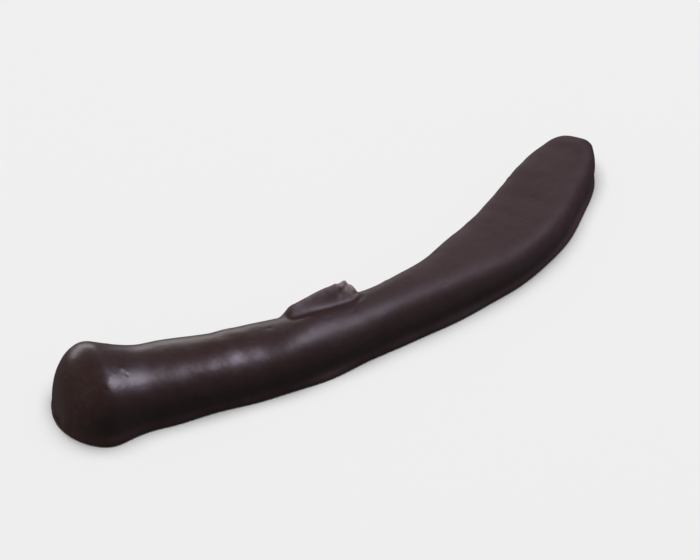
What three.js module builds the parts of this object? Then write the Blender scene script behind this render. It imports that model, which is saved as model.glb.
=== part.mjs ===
// One orangette: a stick of candied orange peel under a full coat of dark chocolate, one solid
// that lies on its flat underside. Millimetres, +Z up. +X runs along the chord from the thick end
// to the flat end, the stick bows toward -Y, and the origin is the bottom centre of its box.

import * as THREE from 'three';
import { LoftGeometry } from 'three/addons/geometries/LoftGeometry.js';
import { mergeVertices } from 'three/addons/utils/BufferGeometryUtils.js';

// Centre line seen from above, as [along the chord, sideways], from the thick end's tip
const CENTRE_LINE = [[0, 0], [8, -2.9], [22, -8.1], [37, -11.8], [53, -13], [70, -10], [89.8, 0]];

// Width and height of the coated stick at even steps from the thick end to the flat end
const WIDTHS = [12.8, 11.6, 10.6, 9.8, 8.7, 7.3, 8.2, 10.4, 10.7, 9.4, 5.8];
const HEIGHTS = [8.5, 7.6, 7, 6.7, 6.8, 6.7, 6.3, 5.8, 5.7, 5.5, 5.3];

// The knob: how much the thick end swells, upward and sideways, over the widths and heights above.
// It sinks back between two places along the stick, which run from 0 to 1
const KNOB_FROM = 0.047;
const KNOB_TO = 0.138;
const KNOB_RISE = 1.7;
const KNOB_SWELL = 2.6;

// Elliptic rounding of the ends: how far in from the tip the full width and height are reached
const THICK_END = { widthReach: 7, heightReach: 6.5 };
const FLAT_END = { widthReach: 7, heightReach: 4.5 };
const TIP_HEIGHT = 0.8; // height of the very tip, which is the foot and the start of the curve above it

// Top of one side of the section, from the side to the middle, as shares of the half width and of
// the height. It is round at the thick end and goes flat between these two places along the stick
const ROUND_TOP = [[1.05, 0.43], [0.95, 0.69], [0.76, 0.86], [0.56, 0.955], [0.34, 1.015], [0.11, 1.04]];
const FLAT_TOP = [[1.05, 0.45], [1, 0.74], [0.88, 0.9], [0.7, 0.975], [0.46, 1.01], [0.16, 1.02]];
const FLAT_FROM = 0.35;
const FLAT_TO = 0.75;

// The foot: the thin edge of chocolate that spread where the stick was set down to cool
const FOOT_REACH = 0.35;
const FOOT_HEIGHT = 0.45;
const FOOT_VARIATION = 0.4; // share by which its reach swells and shrinks along the stick

// The lip: a thin ridge pulled up along the far top edge before the coat had set, and the groove
// on its inner side. It starts low, climbs to its peak and breaks off
const LIP_START = 0.345;
const LIP_PEAK = 0.44;
const LIP_END = 0.475;
const LIP_RISE = 2.4;
const LIP_REACH = 0.5;
const LIP_PINCH = 0.8; // share by which the ridge is thinner than the edge that it rises from
const LIP_GROOVE = 0.9;

// Slow unevenness of the hand-cut stick, as a share of its size
const LUMP_DEPTH = 0.03;

const RINGS = 110;
const POINTS_AROUND = 48;
const END_CROWDING = 0.8; // 0 spaces the rings evenly, and 1 crowds them most at the tips
const FIRST_RING = 0.0004; // the closed tips are this share of the length in from the ends

const TURN = 2 * Math.PI;
const { clamp, lerp, smoothstep } = THREE.MathUtils;

const centreLine = new THREE.SplineCurve(CENTRE_LINE.map(([x, y]) => new THREE.Vector2(x, y)));
const length = centreLine.getLength();

// A smooth profile through values that stand at even steps along the stick
function profile(values) {
  const curve = new THREE.SplineCurve(values.map((value, step) => new THREE.Vector2(step, value)));
  return (u) => curve.getPoint(u).y;
}

const widthAt = profile(WIDTHS);
const heightAt = profile(HEIGHTS);

// How much of the knob there is at u: all of it at the thick end, and none past the place where it ends
function knobAt(u) {
  return 1 - smoothstep(u, KNOB_FROM, KNOB_TO);
}

// Quarter of an ellipse: from 0 at the tip to 1 at the given reach from it
function endRounding(distance, reach) {
  const left = 1 - clamp(distance / reach, 0, 1);
  return Math.sqrt(1 - left ** 2);
}

// Height of the lip along the stick, from 0 to 1: an abrupt start, a slow climb, an abrupt end
function lipAt(u) {
  const start = smoothstep(u, LIP_START, LIP_START + 0.02);
  const climb = smoothstep(u, LIP_START, LIP_PEAK);
  const fall = 1 - smoothstep(u, LIP_PEAK + 0.01, LIP_END);
  return (0.5 * start + 0.5 * climb) * fall;
}

// Low swellings that wander round the stick as they run along it; v goes once round
function lumpAt(u, v) {
  const long = 0.5 * Math.sin(TURN * (2.3 * u + 0.2)) * Math.cos(TURN * (v + 0.1));
  const spiral = 0.3 * Math.sin(TURN * (4.6 * u + v));
  const short = 0.2 * Math.sin(TURN * (8.2 * u + 2 * v + 0.3));
  return 1 + LUMP_DEPTH * (long + spiral + short);
}

function footReachAt(u, side) {
  const swelling = Math.sin(TURN * (4.3 * u + 0.3 * side)) + 0.6 * Math.sin(TURN * (9.1 * u + 0.2 * side));
  return FOOT_REACH * (1 + FOOT_VARIATION * swelling);
}

// The two points of the lip draw together and rise, and the next point sinks into the groove
function raiseLip([outer, inner, behind], lip) {
  const closing = inner.clone().sub(outer).multiplyScalar(0.5 * LIP_PINCH * lip);
  const lift = new THREE.Vector2(LIP_REACH, LIP_RISE).multiplyScalar(lip);
  outer.add(closing).add(lift);
  inner.sub(closing).add(lift);
  behind.y -= LIP_GROOVE * lip;
}

// One side of the cross-section as control points (sideways, up), from the underside to the top
function sideOutline(u, half, height, foot, lip) {
  const heightOf = (share) => FOOT_HEIGHT + share * (height - FOOT_HEIGHT);
  const flatness = smoothstep(u, FLAT_FROM, FLAT_TO);
  const bottom = [
    [0.35 * foot, 0],
    [0.7 * foot, 0],
    [0.96 * foot, 0],
    [foot, 0.6 * FOOT_HEIGHT],
    [0.5 * (half + foot), heightOf(0.06)],
    [0.98 * half, heightOf(0.17)],
  ].map(([out, up]) => new THREE.Vector2(out, up));
  const top = ROUND_TOP.map(([out, up], i) => new THREE.Vector2(
    lerp(out, FLAT_TOP[i][0], flatness) * half,
    heightOf(lerp(up, FLAT_TOP[i][1], flatness)),
  ));
  raiseLip(top.slice(2, 5), lip);
  return [...bottom, ...top];
}

// Whole cross-section at u as a closed ring of control points, round from the underside by +Y
function controlRing(u) {
  const end = u < 0.5 ? THICK_END : FLAT_END;
  const tipDistance = length * Math.min(u, 1 - u);
  const taper = endRounding(tipDistance, end.widthReach);
  const rise = endRounding(tipDistance - FOOT_REACH, end.heightReach);
  const knob = knobAt(u);
  const half = 0.5 * (widthAt(u) + KNOB_SWELL * knob) * taper;
  const height = TIP_HEIGHT + (heightAt(u) + KNOB_RISE * knob - TIP_HEIGHT) * rise;
  const sides = [1, -1].map((side) => {
    const foot = half + footReachAt(u, side) * taper;
    const outline = sideOutline(u, half, height, foot, side > 0 ? lipAt(u) : 0);
    return outline.map(({ x, y }) => new THREE.Vector2(side * x, y));
  });
  return [...sides[0], ...sides[1].reverse()];
}

// Point at v, from 0 to 1, on the closed cubic B-spline of a control ring
function ringPoint(ring, v) {
  const position = v * ring.length;
  const first = Math.floor(position);
  const f = position - first;
  const weights = [(1 - f) ** 3, 3 * f ** 3 - 6 * f ** 2 + 4, -3 * f ** 3 + 3 * f ** 2 + 3 * f + 1, f ** 3];
  const point = new THREE.Vector2();
  weights.forEach((weight, step) => {
    point.addScaledVector(ring[(first + step) % ring.length], weight / 6);
  });
  return point;
}

// Cross-section at u as points in space, upright and square to the centre line
function crossSection(u) {
  const centre = centreLine.getPointAt(u);
  const tangent = centreLine.getTangentAt(u);
  const ring = controlRing(u);
  return Array.from({ length: POINTS_AROUND }, (_, i) => {
    const v = i / POINTS_AROUND;
    const flat = ringPoint(ring, v).multiplyScalar(lumpAt(u, v));
    return new THREE.Vector3(centre.x - tangent.y * flat.x, centre.y + tangent.x * flat.x, flat.y);
  });
}

// Place of each ring along the stick, closer together toward the tips
function ringPlace(i) {
  const even = i / (RINGS - 1);
  const crowded = 0.5 - 0.5 * Math.cos(Math.PI * even);
  return clamp(lerp(even, crowded, END_CROWDING), FIRST_RING, 1 - FIRST_RING);
}

function makeStick() {
  const sections = Array.from({ length: RINGS }, (_, i) => crossSection(ringPlace(i)));
  const loft = new LoftGeometry(sections, { capStart: true, capEnd: true });
  const skin = new THREE.BufferGeometry().copy(loft);
  skin.deleteAttribute('normal');
  skin.deleteAttribute('uv');
  const geometry = mergeVertices(skin);
  geometry.computeBoundingBox();
  const box = geometry.boundingBox;
  const middle = box.getCenter(new THREE.Vector3());
  geometry.translate(-middle.x, -middle.y, -box.min.z);
  geometry.computeVertexNormals();
  const chocolate = new THREE.MeshStandardMaterial({ color: 0x3b2b2b, roughness: 0.45, metalness: 0 });
  const stick = new THREE.Mesh(geometry, chocolate);
  stick.name = 'orangette';
  return stick;
}

const part = new THREE.Group();
part.add(makeStick());

export default part;
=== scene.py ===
from math import cos, pi, radians, sin

import bpy
import numpy as np
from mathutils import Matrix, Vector


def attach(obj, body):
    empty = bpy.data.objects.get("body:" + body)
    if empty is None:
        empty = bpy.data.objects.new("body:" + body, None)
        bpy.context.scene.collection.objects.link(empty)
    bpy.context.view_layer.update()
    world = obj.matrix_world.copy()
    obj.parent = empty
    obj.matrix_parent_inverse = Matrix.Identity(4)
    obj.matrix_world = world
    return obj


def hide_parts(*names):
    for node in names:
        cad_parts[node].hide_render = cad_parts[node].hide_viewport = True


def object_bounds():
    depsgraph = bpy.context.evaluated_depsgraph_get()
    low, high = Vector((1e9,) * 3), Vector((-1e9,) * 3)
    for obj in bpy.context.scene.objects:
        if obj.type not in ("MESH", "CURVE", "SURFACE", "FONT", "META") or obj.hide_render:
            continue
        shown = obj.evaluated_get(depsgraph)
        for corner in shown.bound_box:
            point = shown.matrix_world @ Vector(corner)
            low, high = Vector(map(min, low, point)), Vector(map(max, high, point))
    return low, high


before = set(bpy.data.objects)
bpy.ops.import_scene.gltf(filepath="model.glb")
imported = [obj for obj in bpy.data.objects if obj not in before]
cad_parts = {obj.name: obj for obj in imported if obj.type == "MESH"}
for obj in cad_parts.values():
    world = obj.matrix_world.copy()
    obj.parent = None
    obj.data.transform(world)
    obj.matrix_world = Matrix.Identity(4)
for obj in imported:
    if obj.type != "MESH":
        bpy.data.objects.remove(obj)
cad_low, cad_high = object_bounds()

# ---------------------------------------------------------------------------------------
# The stick: a strip of candied orange peel that was run through a curtain of dark
# chocolate and set down wet on a belt. The coat hides the peel all round. It is thick and
# round at one end, broad and flat at the other, and lies flat underneath on a thin foot.
# ---------------------------------------------------------------------------------------

MM = 0.001
TURN = 2 * pi

# In millimetres: the centre line seen from above, then the width and the height at even
# steps from the thick end to the flat end
CENTRE_LINE = [[0, 0], [8, -2.9], [22, -8.1], [37, -11.8], [53, -13], [70, -10], [89.8, 0]]
WIDTHS = [12.8, 11.6, 10.6, 9.8, 8.7, 7.3, 8.2, 10.4, 10.7, 9.4, 5.8]
HEIGHTS = [8.5, 7.6, 7, 6.7, 6.8, 6.7, 6.3, 5.8, 5.7, 5.5, 5.3]

# The knob: how much more the thick end swells, and the two places along the stick, from 0
# to 1, between which it sinks back
KNOB_FROM, KNOB_TO = 0.047, 0.138
KNOB_RISE = 1.7
KNOB_SWELL = 2.6

# Elliptic rounding of the ends: how far in from the tip the full width and height are reached
THICK_END = {"width_reach": 7, "height_reach": 6.5}
FLAT_END = {"width_reach": 7, "height_reach": 4.5}
TIP_HEIGHT = 0.8            # height of the very tip, which the rounding starts from

# The foot: the thin edge of chocolate that spread where the stick was set down
FOOT_REACH = 0.35
FOOT_HEIGHT = 0.45
FOOT_VARIATION = 0.4        # share by which the reach swells and shrinks along the stick
FOOT_RIM = 0.6              # height of the foot's outermost edge, as a share of the foot's

# One side of the section. Underneath, the points stand at shares of the foot's reach. The
# first one above the foot is midway out between foot and side, at a share of the height.
# Then come [share of the half width, share of the height], up to the middle of the top,
# which is round at the thick end and goes flat between two places along the stick
UNDERSIDE = [0.35, 0.7, 0.96]
ABOVE_FOOT = 0.06
LOW_SIDE = [0.98, 0.17]
ROUND_TOP = [[1.05, 0.43], [0.95, 0.69], [0.76, 0.86], [0.56, 0.955], [0.34, 1.015], [0.11, 1.04]]
FLAT_TOP = [[1.05, 0.45], [1, 0.74], [0.88, 0.9], [0.7, 0.975], [0.46, 1.01], [0.16, 1.02]]
FLAT_FROM, FLAT_TO = 0.35, 0.75

# The lip: a thin ridge along the far top edge, with a groove on its inner side
LIP_START, LIP_PEAK, LIP_END = 0.345, 0.44, 0.475
LIP_ONSET = 0.02            # length of its abrupt start, as a share of the stick's
LIP_CREST = 0.01            # length over which it stays at its peak
LIP_RISE = 2.4
LIP_REACH = 0.5
LIP_PINCH = 0.8             # share by which it is thinner than the edge that it rises from
LIP_GROOVE = 0.9

LUMP_DEPTH = 0.03           # slow unevenness of the hand-cut strip, as a share of its size

RINGS = 600
POINTS_AROUND = 160
END_CROWDING = 0.8          # 0 spaces the rings evenly, and 1 crowds them most at the tips
FIRST_RING = 0.0004         # the closed tips are this share of the length in from the ends
CENTRE_SAMPLES = 4001       # points at which the centre line's length is measured
UNDERSIDE_END = 0.14        # place round the ring where the underside gives way to the foot
UNDERSIDE_SHARE = 0.05      # share of a ring's points that each half of the underside gets


def smooth_through(values, place):
    """Uniform Catmull-Rom curve through evenly stepped values, its end values repeated."""
    values = np.asarray(values, float)
    padded = np.concatenate([values[:1], values, values[-1:]])
    position = np.clip(place, 0, 1) * (len(values) - 1)
    first = np.minimum(position.astype(int), len(values) - 2)
    f = (position - first).reshape(position.shape + (1,) * (values.ndim - 1))
    a, b, c, d = (padded[first + step] for step in range(4))
    return b + 0.5 * f * (c - a + f * (2 * a - 5 * b + 4 * c - d + f * (3 * b - a - 3 * c + d)))


def smooth_step(low, high, x):
    """0 up to low, 1 from high, and a smooth cubic rise between."""
    t = np.clip((x - low) / (high - low), 0, 1)
    return t * t * (3 - 2 * t)


def bell(place, spread, x):
    """Smooth bell: 1 at its place, falling off over about its spread to either side."""
    return np.exp(-((x - place) / spread) ** 2)


def end_rounding(distance, reach):
    """Quarter of an ellipse: rises from 0 at the tip to 1 at the given reach from it."""
    left = 1 - np.clip(distance / reach, 0, 1)
    return np.sqrt(1 - left ** 2)


def lip_profile(u):
    """Height of the lip along the stick, 0 to 1: abrupt start, slow climb, abrupt end."""
    start = smooth_step(LIP_START, LIP_START + LIP_ONSET, u)
    climb = smooth_step(LIP_START, LIP_PEAK, u)
    fall = 1 - smooth_step(LIP_PEAK + LIP_CREST, LIP_END, u)
    return (0.5 * start + 0.5 * climb) * fall


def lump_factor(u, v):
    """Slow swellings of the strip, as a factor on its section: 1 plus a share of three waves.

    A long wave runs along the stick and is opposite on opposite sides. A shorter one winds
    round it as one spiral, and the shortest as two.
    """
    long = 0.5 * np.sin(TURN * (2.3 * u + 0.2)) * np.cos(TURN * (v + 0.1))
    spiral = 0.3 * np.sin(TURN * (4.6 * u + v))
    short = 0.2 * np.sin(TURN * (8.2 * u + 2 * v + 0.3))
    return 1 + LUMP_DEPTH * (long + spiral + short)


def foot_reach(u, side):
    """How far the foot spreads beyond the body: two sine waves, out of step between the sides."""
    swelling = np.sin(TURN * (4.3 * u + 0.3 * side)) + 0.6 * np.sin(TURN * (9.1 * u + 0.2 * side))
    return FOOT_REACH * (1 + FOOT_VARIATION * swelling)


def side_outline(u, half, height, foot, lip):
    """Control points [sideways, up] of one side of the section, from underside to top.

    The top blends from the round outline to the flat one. Where there is a lip, the two
    points at the top edge draw together and rise, and the next one sinks into a groove.
    """
    def body(share):
        """Height at a share of the way from the top of the foot to the top of the stick."""
        return FOOT_HEIGHT + share * (height - FOOT_HEIGHT)

    nothing = 0 * half
    bottom = [(share * foot, nothing) for share in UNDERSIDE]
    bottom.append((foot, nothing + FOOT_RIM * FOOT_HEIGHT))
    bottom.append((0.5 * (half + foot), body(ABOVE_FOOT)))
    bottom.append((LOW_SIDE[0] * half, body(LOW_SIDE[1])))
    flatness = smooth_step(FLAT_FROM, FLAT_TO, u)
    top = []
    for (round_out, round_up), (flat_out, flat_up) in zip(ROUND_TOP, FLAT_TOP):
        out = round_out + flatness * (flat_out - round_out)
        up = round_up + flatness * (flat_up - round_up)
        top.append(np.stack([out * half, body(up)], axis=-1))
    lip = lip[:, None]
    closing = 0.5 * LIP_PINCH * lip * (top[3] - top[2])
    lift = lip * (LIP_REACH, LIP_RISE)
    top[2], top[3] = top[2] + closing + lift, top[3] - closing + lift
    top[4] = top[4] - lip * (0, LIP_GROOVE)
    return [np.stack(point, axis=-1) for point in bottom] + top


def control_rings(u, length):
    """Closed ring of control points for each u: the +Y side up, then the -Y side down.

    Width and height are their values along the stick plus the knob's, rounded off at the ends.
    """
    tip_distance = length * np.minimum(u, 1 - u)
    end = {key: np.where(u < 0.5, THICK_END[key], FLAT_END[key]) for key in THICK_END}
    taper = end_rounding(tip_distance, end["width_reach"])
    rise = end_rounding(tip_distance - FOOT_REACH, end["height_reach"])
    knob = 1 - smooth_step(KNOB_FROM, KNOB_TO, u)
    half = 0.5 * (smooth_through(WIDTHS, u) + KNOB_SWELL * knob) * taper
    height = TIP_HEIGHT + (smooth_through(HEIGHTS, u) + KNOB_RISE * knob - TIP_HEIGHT) * rise
    sides = []
    for side in (1, -1):
        foot = half + foot_reach(u, side) * taper
        lip = lip_profile(u) if side > 0 else 0 * u
        sides.append([point * (side, 1) for point in side_outline(u, half, height, foot, lip)])
    return np.stack(sides[0] + sides[1][::-1], axis=1)


def ring_points(rings, v):
    """Points at v (0 to 1, once round) on the closed uniform cubic B-spline of each ring."""
    count = rings.shape[1]
    position = v * count
    first = position.astype(int)
    f = position - first
    weights = [
        (1 - f) ** 3,
        3 * f ** 3 - 6 * f ** 2 + 4,
        -3 * f ** 3 + 3 * f ** 2 + 3 * f + 1,
        f ** 3,
    ]
    return sum(w[:, None] * rings[:, (first + k) % count] / 6 for k, w in enumerate(weights))


def stick_grid():
    """The sweep: each section stands upright and square to the centre line at its place.

    Rings lie closer together toward the tips, and points wider apart on the flat underside.
    """
    fine = smooth_through(CENTRE_LINE, np.linspace(0, 1, CENTRE_SAMPLES))
    run = np.concatenate([[0], np.cumsum(np.hypot(*np.diff(fine, axis=0).T))])
    length = run[-1]
    even = np.linspace(0, 1, RINGS)
    crowded = 0.5 - 0.5 * np.cos(pi * even)
    u = FIRST_RING + (1 - 2 * FIRST_RING) * (even + END_CROWDING * (crowded - even))
    v = np.interp(
        np.arange(POINTS_AROUND) / POINTS_AROUND,
        [0, UNDERSIDE_SHARE, 1 - UNDERSIDE_SHARE, 1],
        [0, UNDERSIDE_END, 1 - UNDERSIDE_END, 1],
    )
    heading = np.gradient(fine, run, axis=0)
    centre, tangent = (
        np.stack([np.interp(u * length, run, line[:, axis]) for axis in (0, 1)], axis=-1)
        for line in (fine, heading)
    )
    tangent /= np.linalg.norm(tangent, axis=1, keepdims=True)
    flat = ring_points(control_rings(u, length), v) * lump_factor(u[:, None], v)[..., None]
    grid = np.empty(flat.shape[:2] + (3,))
    grid[..., 0] = centre[:, None, 0] - tangent[:, None, 1] * flat[..., 0]
    grid[..., 1] = centre[:, None, 1] + tangent[:, None, 0] * flat[..., 0]
    grid[..., 2] = flat[..., 1]
    low, high = grid.min(axis=(0, 1)), grid.max(axis=(0, 1))
    grid -= [(low[0] + high[0]) / 2, (low[1] + high[1]) / 2, low[2]]
    return grid, u, v


# The skin of the coat. Blown air leaves slow ripples as it drains, burst bubbles leave pits,
# and grains of sugar and crumb stand up as pimples. All sizes are in millimetres
RIPPLE_COUNT = 19           # from end to end
RIPPLE_HEIGHT = 0.03
RIPPLE_BOW = 0.3            # how far a crest's top runs ahead of its sides, in ripples
RIPPLE_WANDER = 0.35        # how far it strays from its even place, in ripples
WANDER_LENGTH = 22          # distance over which it strays to and fro
FAINTNESS_LENGTH = 30       # distance over which ripples go from strong to faint and back
SWELLING_HEIGHT, SWELLING_LENGTH = 0.06, 10
DIMPLE_HEIGHT, DIMPLE_LENGTH = 0.008, 3.2
PEBBLE_HEIGHT, PEBBLE_LENGTH = 0.002, 1.1
PITS = {"count": 30, "radii": (0.2, 0.45), "heights": (-0.09, -0.03)}
PIMPLES = {"count": 24, "radii": (0.3, 0.8), "heights": (0.02, 0.08)}
SKIN_FADES_BELOW = 0.15     # height above the floor up to which the skin is left flat
SKIN_FULL_ABOVE = 1.6

# The lip's end is chipped rough and painted pale, and a thin highlight is painted along the
# crest that leads up to it. Where the break is, along the stick and round the section, and
# where that crest is
BREAK_PLACE, BREAK_SPREAD = 0.455, 0.016
BREAK_ROUND, BREAK_WIDTH = 0.327, 0.03
BREAK_DEPTH, BREAK_GRAIN = 0.16, 1.3
CREST_ROUND, CREST_WIDTH = 0.324, 0.018
# strength of the painted highlight along the lip's crest
CREST_HIGHLIGHT = 0.45


def grid_normals(grid):
    """Outward unit normals of a closed grid: the cross product of its steps round and along."""
    along = np.gradient(grid, axis=0)
    around = np.roll(grid, -1, axis=1) - np.roll(grid, 1, axis=1)
    normal = np.cross(around, along)
    return normal / np.maximum(np.linalg.norm(normal, axis=-1, keepdims=True), 1e-12)


def swell(points, wavelength, seed, waves=24):
    """Soft unevenness of about one wavelength, with a mean square of one.

    It is a sum of plane sine waves in random directions, each 0.7 to 1.4 times as fine.
    """
    draw = np.random.default_rng(seed)
    ways = draw.normal(size=(waves, 3))
    ways *= TURN / wavelength / np.linalg.norm(ways, axis=1, keepdims=True)
    ways *= draw.uniform(0.7, 1.4, (waves, 1))
    return np.sin(points @ ways.T + draw.uniform(0, TURN, waves)).sum(axis=-1) / np.sqrt(waves / 2)


def spots(points, draw, count, radii, heights):
    """Round dents or pimples at random places, clear of the tips and the underside.

    Each is a bell of its own height, which has fallen to about a fifth at its own radius.
    """
    rings, around = points.shape[:2]
    total = np.zeros((rings, around))
    rows = draw.integers(rings // 40, rings * 39 // 40, count)
    columns = draw.integers(around // 7, around * 6 // 7, count)
    sizes = zip(draw.uniform(*radii, count), draw.uniform(*heights, count))
    for centre, (radius, height) in zip(points[rows, columns], sizes):
        away = np.linalg.norm(points - centre, axis=-1) / radius
        total += height * np.exp(-1.5 * away ** 2)
    return total


def broken_lip(u, v):
    """How broken the surface is, 0 to 1: a bell along the stick times a bell round it."""
    return bell(BREAK_PLACE, BREAK_SPREAD, u[:, None]) * bell(BREAK_ROUND, BREAK_WIDTH, v)


def painted_crest_highlight(u, v):
    """How strong the painted highlight on the lip's thin crest is: the lip's own height times a
    narrow bell round it.
    """
    return CREST_HIGHLIGHT * lip_profile(u)[:, None] * bell(CREST_ROUND, CREST_WIDTH, v)


def skin_relief(grid, u, v):
    """Height of the skin above the swept form, in millimetres along the normal.

    It is a sum: sine ripples across the stick, stronger in some places than in others,
    three sizes of soft unevenness, the pits and pimples, and the grain of the broken lip.
    """
    crest = RIPPLE_COUNT * u[:, None] + RIPPLE_BOW * np.cos(TURN * v)
    crest = crest + RIPPLE_WANDER * swell(grid, WANDER_LENGTH, seed=3)
    strength = 0.5 + 0.5 * np.clip(swell(grid, FAINTNESS_LENGTH, seed=5), -1, 1)
    ripples = RIPPLE_HEIGHT * np.sin(TURN * crest) * strength
    swellings = SWELLING_HEIGHT * swell(grid, SWELLING_LENGTH, seed=7)
    dimples = DIMPLE_HEIGHT * swell(grid, DIMPLE_LENGTH, seed=11)
    pebble = PEBBLE_HEIGHT * swell(grid, PEBBLE_LENGTH, seed=13)
    draw = np.random.default_rng(17)
    pits = spots(grid, draw, **PITS)
    pimples = spots(grid, draw, **PIMPLES)
    chipping = BREAK_DEPTH * broken_lip(u, v) * swell(grid, BREAK_GRAIN, seed=19)
    return ripples + (swellings + dimples) + pebble + pits + pimples + chipping


def closed_mesh(name, grid):
    """Mesh of a grid that closes round its second direction, with a fan over each end."""
    rings, around = grid.shape[:2]
    corner = np.arange(rings * around).reshape(rings, around)
    beside = np.roll(corner, -1, axis=1)
    quads = np.stack([corner[:-1], beside[:-1], beside[1:], corner[1:]], axis=-1).reshape(-1, 4)
    first_tip = np.full(around, rings * around)
    first_fan = np.stack([first_tip, beside[0], corner[0]], axis=-1)
    last_fan = np.stack([first_tip + 1, corner[-1], beside[-1]], axis=-1)
    vertices = np.concatenate([grid.reshape(-1, 3), grid[[0, -1]].mean(axis=1)])
    faces = quads.tolist() + first_fan.tolist() + last_fan.tolist()
    mesh = bpy.data.meshes.new(name)
    mesh.from_pydata((vertices * MM).tolist(), [], faces)
    mesh.shade_smooth()
    return mesh


def make_stick():
    """The swept form, with the skin raised along its normals and faded out near the floor.

    Each point also carries, 0 to 1, how much pale colour is painted on it: at the chipped end
    of the lip, and as a painted highlight along the lip's crest. The two tips carry none.
    """
    grid, u, v = stick_grid()
    off_floor = smooth_step(SKIN_FADES_BELOW, SKIN_FULL_ABOVE, grid[..., 2])
    grid = grid + grid_normals(grid) * (skin_relief(grid, u, v) * off_floor)[..., None]
    mesh = closed_mesh("stick", grid)
    # Pale colour painted at the chipped lip, and a painted highlight along its crest
    pale_chip_and_highlight_amount = np.maximum(broken_lip(u, v), painted_crest_highlight(u, v)).ravel()
    pale_chip_and_highlight = mesh.attributes.new("pale_chip_and_highlight", "FLOAT", "POINT")
    pale_chip_and_highlight.data.foreach_set("value", np.append(pale_chip_and_highlight_amount, [0, 0]))
    stick = bpy.data.objects.new("stick", mesh)
    bpy.context.scene.collection.objects.link(stick)
    return stick


# The coat's colour: slow clouds of bloom from the first to the second, a fine mottle that
# darkens and lightens them by a share, and a pale colour painted at the chipped end of the
# lip and as a thin highlight along its crest
CHOCOLATE = [(0.3, (0.024, 0.0118, 0.0108, 1)), (0.7, (0.030, 0.0150, 0.0136, 1))]
MOTTLING = 0.16
# pale colour painted at the chipped lip and as the painted highlight on its crest
PALE_CHIP_AND_HIGHLIGHT = (0.30, 0.24, 0.225, 1)
PALE_LEAST = 0.45           # share of the pale colour that its darkest grains keep

# Its gloss is best at the thick end and dulls to a bloom between two places, given in metres
# along X. The dulling adds to a roughness that is uneven between its least and its most
GLOSSY_UP_TO = -0.030
DULL_FROM = 0.019
DULLING = 0.32
ROUGH_LEAST, ROUGH_MOST = 0.32, 0.41

# How fine each pattern is, in features to the metre, and the height of the two that stand up
BLOOM_CLOUDS = 90
FINE_MOTTLE = 900
PALE_GRAINS = 1500
UNEVEN_GLOSS = 160
ORANGE_SKIN, ORANGE_SKIN_HEIGHT = 700, 0.03 * MM
FINE_GRAIN, FINE_GRAIN_HEIGHT = 2600, 0.01 * MM


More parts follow.
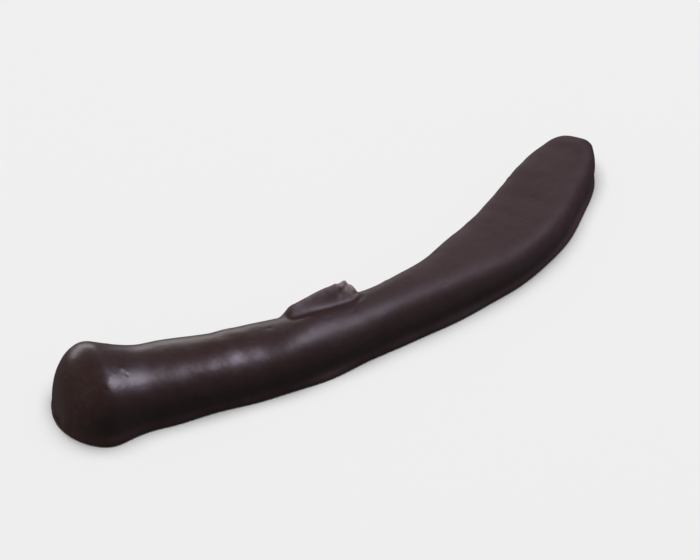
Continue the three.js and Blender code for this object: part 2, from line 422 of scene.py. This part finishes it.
def dark_chocolate():
    """Satin dark chocolate: near-black cool brown, faint dusty bloom, fine uneven gloss."""
    material = bpy.data.materials.new("dark_chocolate")
    material.use_nodes = True
    nodes, links = material.node_tree.nodes, material.node_tree.links
    surface = nodes["Principled BSDF"]
    surface.inputs["IOR"].default_value = 1.5
    place = nodes.new("ShaderNodeTexCoord").outputs["Object"]

    def noise(scale, detail, roughness=0.5):
        """Cloudy noise in space, mostly between 0.3 and 0.7."""
        node = nodes.new("ShaderNodeTexNoise")
        node.inputs["Scale"].default_value = scale
        node.inputs["Detail"].default_value = detail
        node.inputs["Roughness"].default_value = roughness
        links.new(place, node.inputs["Vector"])
        return node.outputs["Fac"]

    def ramp(source, stops):
        """Colour that runs from the first stop to the second as the source rises."""
        node = nodes.new("ShaderNodeValToRGB")
        elements = node.color_ramp.elements
        for element, (position, colour) in zip(elements, stops):
            element.position, element.color = position, colour
        links.new(source, node.inputs["Fac"])
        return node.outputs["Color"]

    def spread(source, low, high, source_low=0.3, source_high=0.7, smooth=False):
        """Value that goes from low to high as the source crosses its range, and holds beyond."""
        node = nodes.new("ShaderNodeMapRange")
        node.interpolation_type = "SMOOTHSTEP" if smooth else "LINEAR"
        node.inputs["From Min"].default_value = source_low
        node.inputs["From Max"].default_value = source_high
        node.inputs["To Min"].default_value = low
        node.inputs["To Max"].default_value = high
        links.new(source, node.inputs["Value"])
        return node.outputs["Result"]

    def combine(kind, first, second):
        """Sum or product of two values."""
        node = nodes.new("ShaderNodeMath")
        node.operation = kind
        links.new(first, node.inputs[0])
        links.new(second, node.inputs[1])
        return node.outputs["Value"]

    def bump(source, height, below=None):
        """Surface direction of a relief as high as given, laid over the one below."""
        node = nodes.new("ShaderNodeBump")
        node.inputs["Strength"].default_value = 1.0
        node.inputs["Distance"].default_value = height
        links.new(source, node.inputs["Height"])
        if below:
            links.new(below, node.inputs["Normal"])
        return node.outputs["Normal"]

    # Colour: clouds of bloom, the fine mottle over them, and a pale colour painted where the lip
    #     is chipped and as a highlight along its crest
    mottled = nodes.new("ShaderNodeVectorMath")
    mottled.operation = "SCALE"
    links.new(ramp(noise(BLOOM_CLOUDS, 3), CHOCOLATE), mottled.inputs[0])
    mottle = spread(noise(FINE_MOTTLE, 3, 0.6), 1 - MOTTLING, 1 + MOTTLING)
    links.new(mottle, mottled.inputs["Scale"])
    # How much pale paint each point carries: the chipped lip and the painted crest highlight
    pale_chip_and_highlight = nodes.new("ShaderNodeAttribute")
    pale_chip_and_highlight.attribute_name = "pale_chip_and_highlight"
    grains = spread(noise(PALE_GRAINS, 2), PALE_LEAST, 1.0)
    pale = combine("MULTIPLY", pale_chip_and_highlight.outputs["Fac"], grains)
    colour = nodes.new("ShaderNodeMix")
    colour.data_type = "RGBA"
    links.new(pale, colour.inputs["Factor"])
    links.new(mottled.outputs["Vector"], colour.inputs["A"])
    colour.inputs["B"].default_value = PALE_CHIP_AND_HIGHLIGHT
    links.new(colour.outputs["Result"], surface.inputs["Base Color"])

    # Gloss: uneven at several scales, and dulled along the stick
    along = nodes.new("ShaderNodeSeparateXYZ")
    links.new(place, along.inputs["Vector"])
    dulling = spread(along.outputs["X"], 0.0, DULLING, GLOSSY_UP_TO, DULL_FROM, smooth=True)
    uneven = spread(noise(UNEVEN_GLOSS, 4, 0.6), ROUGH_LEAST, ROUGH_MOST)
    links.new(combine("ADD", dulling, uneven), surface.inputs["Roughness"])

    # Relief too fine for the mesh: the orange-skin texture of the coat over its fine grain
    grain = bump(noise(FINE_GRAIN, 2), FINE_GRAIN_HEIGHT)
    skin = bump(noise(ORANGE_SKIN, 3), ORANGE_SKIN_HEIGHT, grain)
    links.new(skin, surface.inputs["Normal"])
    return material


stick = make_stick()
stick.data.materials.append(dark_chocolate())
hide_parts("orangette")
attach(stick, "root")

# ---------------------------------------------------------------------------------------
# The studio: pale paper with a light of its own, and four soft lights on the stick. One is
# broad and overhead, a small one draws the highlight at the thick end, a wide low one lights
# the rim from behind, and one fills in from the left. The lens is long.
# ---------------------------------------------------------------------------------------

VIEW_AZIMUTH, VIEW_ELEVATION = radians(-39), radians(39)
VIEW_DISTANCE = 1.3
SENSOR_WIDTH = 36
OBJECT_SHARE = 0.76         # how much of the picture's width the object takes

centre = (cad_low + cad_high) / 2
toward_camera = Vector((
    sin(VIEW_AZIMUTH) * cos(VIEW_ELEVATION),
    -cos(VIEW_AZIMUTH) * cos(VIEW_ELEVATION),
    sin(VIEW_ELEVATION),
))
picture_right = Vector((cos(VIEW_AZIMUTH), sin(VIEW_AZIMUTH), 0))
away = Vector((-sin(VIEW_AZIMUTH), cos(VIEW_AZIMUTH), 0))
upward = Vector((0, 0, 1))

camera = bpy.data.objects.new("camera", bpy.data.cameras.new("camera"))
camera.data.sensor_width = SENSOR_WIDTH
seen_width = (cad_high.x - cad_low.x) * cos(VIEW_AZIMUTH)
camera.data.lens = SENSOR_WIDTH * VIEW_DISTANCE * OBJECT_SHARE / seen_width
camera.location = centre + VIEW_DISTANCE * toward_camera
camera.rotation_euler = (-toward_camera).to_track_quat("-Z", "Y").to_euler()
bpy.context.scene.collection.objects.link(camera)
bpy.context.scene.camera = camera

FLOOR_REACH = 3.0           # from the middle to each edge
PAPER = (0.93, 0.93, 0.93, 1)
PAPER_ROUGHNESS = 0.9


def plain_floor():
    """Square of matte pale paper. The chocolate neither mirrors it nor takes light from it."""
    mesh = bpy.data.meshes.new("floor")
    corners = [(-1, -1), (1, -1), (1, 1), (-1, 1)]
    places = [(FLOOR_REACH * x, FLOOR_REACH * y, 0) for x, y in corners]
    mesh.from_pydata(places, [], [(0, 1, 2, 3)])
    material = bpy.data.materials.new("floor_paper")
    material.use_nodes = True
    paper = material.node_tree.nodes["Principled BSDF"]
    paper.inputs["Base Color"].default_value = PAPER
    paper.inputs["Roughness"].default_value = PAPER_ROUGHNESS
    mesh.materials.append(material)
    floor = bpy.data.objects.new("floor", mesh)
    floor.visible_glossy = False
    floor.visible_diffuse = False
    bpy.context.scene.collection.objects.link(floor)
    return floor


def soft_light(name, place, size, power, only, colour=(1, 1, 1), mirrored=True, tall=None):
    """Soft box facing the object, at [right, away, up] in metres from it, seen from the camera.

    It is a square unless a height is given as tall. It lights nothing but the object given
    as only, and one that isn't mirrored lights the surface without showing in its gloss.
    """
    data = bpy.data.lights.new(name, "AREA")
    data.shape = "RECTANGLE"
    data.size, data.size_y = size, tall or size
    data.energy, data.color = power, colour
    light = bpy.data.objects.new(name, data)
    right, back, up = place
    light.location = centre + right * picture_right + back * away + up * upward
    light.rotation_euler = (centre - light.location).to_track_quat("-Z", "Y").to_euler()
    light.visible_camera = False
    light.visible_glossy = mirrored
    lit = bpy.data.collections.new(name + "_lights")
    lit.objects.link(only)
    light.light_linking.receiver_collection = lit
    bpy.context.scene.collection.objects.link(light)


floor = plain_floor()
soft_light("paper_light", (0, 0.1, 1.2), size=1.2, power=16, only=floor)
soft_light(
    "overhead", (0, 0.1, 1.2), size=1.2, power=5,
    colour=(1.0, 0.94, 0.91), mirrored=False, only=stick,
)
soft_light(
    "key", (0.19, 0.024, 0.264), size=0.16, power=0.92,
    colour=(0.88, 0.81, 1.0), only=stick,
)
soft_light(
    "back", (-0.35, 0.9, 0.14), size=0.9, tall=0.27, power=2.5,
    colour=(0.98, 0.93, 0.95), only=stick,
)
soft_light(
    "fill", (-0.9, -0.25, 0.35), size=0.8, power=7,
    colour=(1.0, 0.95, 0.94), mirrored=False, only=stick,
)

ROOM_LIGHT = 0.1

world = bpy.data.worlds.new("studio")
world.use_nodes = True
background = world.node_tree.nodes["Background"]
background.inputs["Color"].default_value = (1, 1, 1, 1)
background.inputs["Strength"].default_value = ROOM_LIGHT
bpy.context.scene.world = world
bpy.context.scene.view_settings.view_transform = "Standard"
